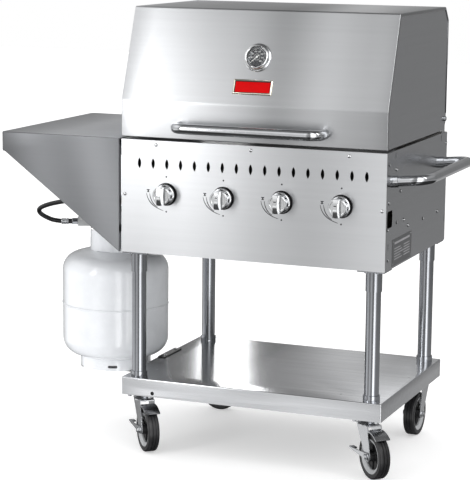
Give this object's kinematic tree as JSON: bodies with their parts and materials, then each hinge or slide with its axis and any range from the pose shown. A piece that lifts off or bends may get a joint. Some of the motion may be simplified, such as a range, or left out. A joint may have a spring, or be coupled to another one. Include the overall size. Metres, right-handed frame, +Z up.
{
  "type": "gas barbecue grill",
  "caption": "Stainless gas barbecue on a castored cart with a hinged hood, control knobs, side shelf, lower shelf and gas cylinder.",
  "frame": {"origin": "on the floor, under the middle of the footprint's box, hose left out", "axes": "+X to the side handle's side, +Y from the front panel to the back, +Z up"},
  "size_m": [1.2426, 0.648, 1.238],
  "materials": {
    "panel_steel": "brushed, grain along the width, light handling wear",
    "shelf_steel": "brushed, grain along the length",
    "tube_steel": "polished tube, fine turning marks",
    "screw_steel": "bright pan heads",
    "zinc": "bright zinc plating on stamped steel",
    "dark_steel": "heat-darkened steel",
    "grate_steel": "heat-tinted rods",
    "brass": "cast and machined",
    "knob_metal": "satin chrome",
    "black_plastic": "moulded",
    "dial_black": "printed dial",
    "dial_white": "painted pointer",
    "glass": "clear",
    "badge": "red enamel in a bright frame",
    "plate_grey": "satin label plate",
    "bracket_black": "black powder coat",
    "wheel_rim": "light grey moulded wheel",
    "tyre": "ribbed black rubber",
    "tank_paint": "gloss off-white paint",
    "hose_black": "smooth black hose",
    "wheel_green": "moulded hand wheel"
  },
  "bodies": {
    "cart": {"front_panel": "panel_steel", "side_panel_left": "panel_steel", "side_panel_right": "panel_steel", "back_panel": "panel_steel", "firebox_liner": "dark_steel", "sheet_screws": "screw_steel", "rating_plate": "plate_grey", "manifold": "dark_steel", "gas_valves": "brass", "burners": "dark_steel", "heat_tents": "dark_steel", "cooking_grates": "grate_steel", "knob_bezels": "black_plastic", "hinge_brackets": "screw_steel", "side_shelf": "shelf_steel", "side_handle": "tube_steel", "lower_shelf": "shelf_steel", "legs": "tube_steel", "leg_sockets": "tube_steel", "tank_bracket": "bracket_black", "caster_plates": "zinc", "tank_shell": "tank_paint", "tank_collar": "tank_paint", "tank_foot_ring": "tank_paint", "tank_valve": "brass", "gas_regulator": "zinc", "hose_fittings": "zinc", "gas_hose": "hose_black"},
    "hood": {"hood_skin": "panel_steel", "hood_sides": "panel_steel", "hood_handle": "tube_steel", "thermometer_case": "tube_steel", "thermometer_dial": "dial_black", "thermometer_glass": "glass", "badge": "badge"},
    "needle": {"thermometer_needle": "dial_white"},
    "pan": {"drip_pan": "dark_steel"},
    "handwheel": {"tank_handwheel": "wheel_green"},
    "plug_1": {"valve_plug_1": "brass"},
    "knob_1": {"knob_1": "knob_metal"},
    "plug_2": {"valve_plug_2": "brass"},
    "knob_2": {"knob_2": "knob_metal"},
    "plug_3": {"valve_plug_3": "brass"},
    "knob_3": {"knob_3": "knob_metal"},
    "plug_4": {"valve_plug_4": "brass"},
    "knob_4": {"knob_4": "knob_metal"},
    "fork_1": {"caster_fork_1": "zinc"},
    "wheel_1": {"caster_wheel_1": "wheel_rim", "caster_tyre_1": "tyre"},
    "pedal_left": {"brake_pedal_left": "zinc"},
    "fork_2": {"caster_fork_2": "zinc"},
    "wheel_2": {"caster_wheel_2": "wheel_rim", "caster_tyre_2": "tyre"},
    "pedal_right": {"brake_pedal_right": "zinc"},
    "fork_3": {"caster_fork_3": "zinc"},
    "wheel_3": {"caster_wheel_3": "wheel_rim", "caster_tyre_3": "tyre"},
    "fork_4": {"caster_fork_4": "zinc"},
    "wheel_4": {"caster_wheel_4": "wheel_rim", "caster_tyre_4": "tyre"}
  },
  "joints": [
    {"name": "hood_hinge", "type": "hinge", "parent": "cart", "child": "hood", "pos_m": [0.12971, 0.2855, 0.9204], "axis": [-1, 0, 0], "range_deg": [0, 90]},
    {"name": "needle_turn", "type": "hinge", "parent": "hood", "child": "needle", "pos_m": [0.12971, -0.21267, 1.11204], "axis": [0, 0.9401, -0.3408], "range_deg": [0, 270]},
    {"name": "pan_slide", "type": "slide", "parent": "cart", "child": "pan", "axis": [0, 1, 0], "range_m": [0, 0.4]},
    {"name": "handwheel_turn", "type": "hinge", "parent": "cart", "child": "handwheel", "pos_m": [-0.39528, 0.007, 0.64], "axis": [0, 0, 1], "range_deg": [0, 630]},
    {"name": "knob_turn_1", "type": "hinge", "parent": "cart", "child": "plug_1", "pos_m": [-0.11628, -0.258, 0.734], "axis": [0, -1, 0], "range_deg": [0, 180]},
    {"name": "knob_push_1", "type": "slide", "parent": "plug_1", "child": "knob_1", "axis": [0, 1, 0], "range_m": [0, 0.003], "stiffness_N_per_m": 600},
    {"name": "knob_turn_2", "type": "hinge", "parent": "cart", "child": "plug_2", "pos_m": [0.05171, -0.258, 0.734], "axis": [0, -1, 0], "range_deg": [0, 180]},
    {"name": "knob_push_2", "type": "slide", "parent": "plug_2", "child": "knob_2", "axis": [0, 1, 0], "range_m": [0, 0.003], "stiffness_N_per_m": 600},
    {"name": "knob_turn_3", "type": "hinge", "parent": "cart", "child": "plug_3", "pos_m": [0.21971, -0.258, 0.734], "axis": [0, -1, 0], "range_deg": [0, 180]},
    {"name": "knob_push_3", "type": "slide", "parent": "plug_3", "child": "knob_3", "axis": [0, 1, 0], "range_m": [0, 0.003], "stiffness_N_per_m": 600},
    {"name": "knob_turn_4", "type": "hinge", "parent": "cart", "child": "plug_4", "pos_m": [0.38771, -0.258, 0.734], "axis": [0, -1, 0], "range_deg": [0, 180]},
    {"name": "knob_push_4", "type": "slide", "parent": "plug_4", "child": "knob_4", "axis": [0, 1, 0], "range_m": [0, 0.003], "stiffness_N_per_m": 600},
    {"name": "caster_swivel_1", "type": "hinge", "parent": "cart", "child": "fork_1", "pos_m": [-0.20228, -0.215, 0.144], "axis": [0, 0, 1], "continuous": true},
    {"name": "wheel_spin_1", "type": "hinge", "parent": "fork_1", "child": "wheel_1", "pos_m": [-0.17619, -0.24398, 0.0625], "axis": [0.7431, 0.6691, 0], "continuous": true},
    {"name": "brake_left", "type": "hinge", "parent": "fork_1", "child": "pedal_left", "pos_m": [-0.17619, -0.24398, 0.0625], "axis": [-0.7431, -0.6691, 0], "range_deg": [0, 25], "stiffness_Nm_per_rad": 1},
    {"name": "caster_swivel_2", "type": "hinge", "parent": "cart", "child": "fork_2", "pos_m": [0.46171, -0.215, 0.144], "axis": [0, 0, 1], "continuous": true},
    {"name": "wheel_spin_2", "type": "hinge", "parent": "fork_2", "child": "wheel_2", "pos_m": [0.48977, -0.24209, 0.0625], "axis": [0.6947, 0.7193, 0], "continuous": true},
    {"name": "brake_right", "type": "hinge", "parent": "fork_2", "child": "pedal_right", "pos_m": [0.48977, -0.24209, 0.0625], "axis": [-0.6947, -0.7193, 0], "range_deg": [0, 25], "stiffness_Nm_per_rad": 1},
    {"name": "caster_swivel_3", "type": "hinge", "parent": "cart", "child": "fork_3", "pos_m": [0.46171, 0.268, 0.144], "axis": [0, 0, 1], "continuous": true},
    {"name": "wheel_spin_3", "type": "hinge", "parent": "fork_3", "child": "wheel_3", "pos_m": [0.46103, 0.22901, 0.0625], "axis": [0.9998, -0.0175, 0], "continuous": true},
    {"name": "caster_swivel_4", "type": "hinge", "parent": "cart", "child": "fork_4", "pos_m": [-0.20228, 0.268, 0.144], "axis": [0, 0, 1], "continuous": true},
    {"name": "wheel_spin_4", "type": "hinge", "parent": "fork_4", "child": "wheel_4", "pos_m": [-0.16343, 0.2646, 0.0625], "axis": [0.0872, 0.9962, 0], "continuous": true}
  ]
}
